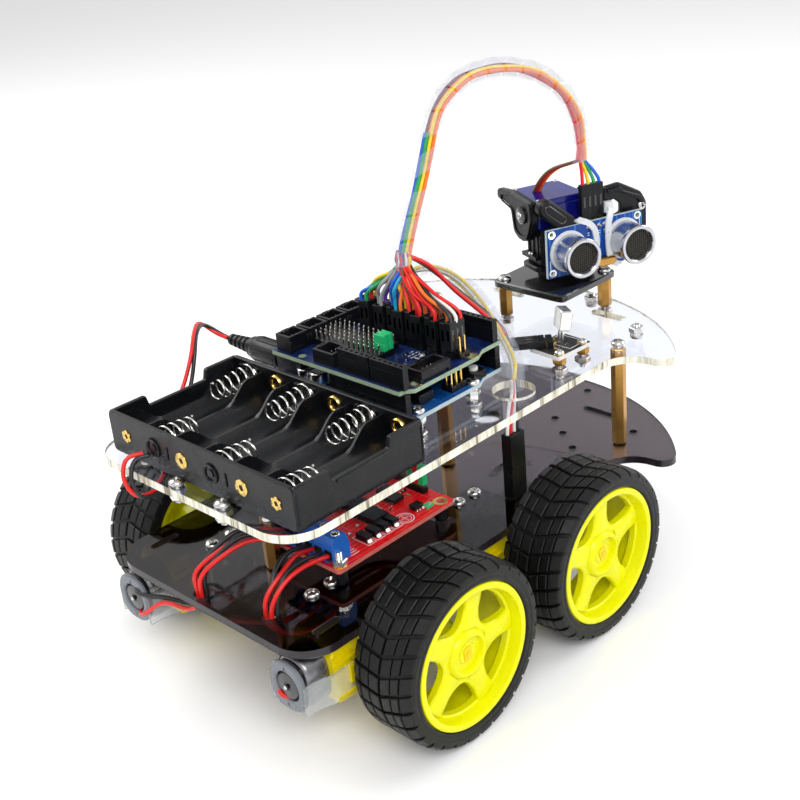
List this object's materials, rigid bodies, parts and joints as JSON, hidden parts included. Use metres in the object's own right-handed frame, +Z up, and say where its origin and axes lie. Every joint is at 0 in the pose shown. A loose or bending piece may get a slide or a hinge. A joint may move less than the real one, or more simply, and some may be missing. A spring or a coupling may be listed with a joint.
{
  "type": "four wheel robot chassis",
  "caption": "Wheeled robot chassis with stacked acrylic decks, gear motors, battery tray, controller boards and a pan and tilt distance sensor head.",
  "frame": {"origin": "middle of the bounding box's foot, on the ground under the tyres", "axes": "+X to the front of the robot, +Y to its left, +Z up"},
  "size_m": [0.232, 0.1626, 0.2004],
  "materials": {
    "smoked_acrylic": "polished, dark smoke",
    "clear_acrylic": "polished, clear with a pale cut edge",
    "yellow_plastic": "moulded, satin",
    "tyre_rubber": "matt moulded rubber",
    "steel": "drawn steel",
    "aluminium": "milled and tumbled",
    "brass": "turned",
    "black_plastic": "moulded, satin",
    "blue_board": "lacquered circuit board",
    "red_board": "lacquered circuit board",
    "black_board": "lacquered circuit board",
    "blue_plastic": "moulded, glossy",
    "silver_case": "drawn, bright",
    "cable_sleeve": "spiral wrap over a lead bundle",
    "lead_insulation": "soft insulation"
  },
  "bodies": {
    "chassis": {"battery_lead": "lead_insulation", "battery_tray": "black_plastic", "controller_board": "blue_board", "dc_jack": "black_plastic", "dc_plug": "black_plastic", "deck_standoff_front_left": "brass", "deck_standoff_front_right": "brass", "deck_standoff_middle": "brass", "deck_standoff_rear": "brass", "driver_terminals": "blue_plastic", "gearbox_front_left": "yellow_plastic", "gearbox_front_right": "yellow_plastic", "gearbox_rear_left": "yellow_plastic", "gearbox_rear_right": "yellow_plastic", "header_front": "black_plastic", "header_rear": "black_plastic", "infrared_board": "black_board", "infrared_receiver": "silver_case", "line_cable": "cable_sleeve", "line_plug": "black_plastic", "lower_deck": "smoked_acrylic", "motor_bracket_front_left": "aluminium", "motor_bracket_front_right": "aluminium", "motor_bracket_rear_left": "aluminium", "motor_bracket_rear_right": "aluminium", "motor_can_front_left": "steel", "motor_can_front_right": "steel", "motor_can_rear_left": "steel", "motor_can_rear_right": "steel", "motor_driver_board": "red_board", "pan_base": "black_plastic", "pan_plate": "black_plastic", "pan_standoff_front": "brass", "pan_standoff_rear": "brass", "sensor_cable": "cable_sleeve", "sensor_shield": "blue_board", "shield_plug_row": "black_plastic", "shield_socket_row": "black_plastic", "upper_deck": "clear_acrylic", "usb_socket": "silver_case"},
    "wheel_front_left": {"tyre_front_left": "tyre_rubber", "wheel_rim_front_left": "yellow_plastic", "axle_front_left": "yellow_plastic"},
    "wheel_front_right": {"tyre_front_right": "tyre_rubber", "wheel_rim_front_right": "yellow_plastic", "axle_front_right": "yellow_plastic"},
    "wheel_rear_left": {"tyre_rear_left": "tyre_rubber", "wheel_rim_rear_left": "yellow_plastic", "axle_rear_left": "yellow_plastic"},
    "wheel_rear_right": {"tyre_rear_right": "tyre_rubber", "wheel_rim_rear_right": "yellow_plastic", "axle_rear_right": "yellow_plastic"},
    "pan_head": {"pan_housing": "black_plastic", "tilt_servo": "blue_plastic", "pan_yoke": "black_plastic"},
    "sensor_head": {"ultrasonic_board": "blue_board", "ultrasonic_eye_left": "silver_case", "ultrasonic_eye_right": "silver_case", "sensor_plug": "black_plastic", "sensor_cradle": "black_plastic"}
  },
  "joints": [
    {"name": "spin_front_left", "type": "hinge", "parent": "chassis", "child": "wheel_front_left", "pos_m": [0.0118, 0, 0.033], "axis": [0, 1, 0], "continuous": true},
    {"name": "spin_front_right", "type": "hinge", "parent": "chassis", "child": "wheel_front_right", "pos_m": [0.0118, 0, 0.033], "axis": [0, 1, 0], "continuous": true},
    {"name": "spin_rear_left", "type": "hinge", "parent": "chassis", "child": "wheel_rear_left", "pos_m": [-0.0632, 0, 0.033], "axis": [0, 1, 0], "continuous": true},
    {"name": "spin_rear_right", "type": "hinge", "parent": "chassis", "child": "wheel_rear_right", "pos_m": [-0.0632, 0, 0.033], "axis": [0, 1, 0], "continuous": true},
    {"name": "pan", "type": "hinge", "parent": "chassis", "child": "pan_head", "pos_m": [0.0853, -0.004, 0.106], "axis": [0, 0, 1], "range_deg": [-4, 176], "deforming": ["sensor_cable"]},
    {"name": "tilt", "type": "hinge", "parent": "pan_head", "child": "sensor_head", "pos_m": [0.0853, -0.004, 0.133], "axis": [0.9336, -0.3584, 0], "range_deg": [-50, 8], "deforming": ["sensor_cable"]}
  ]
}
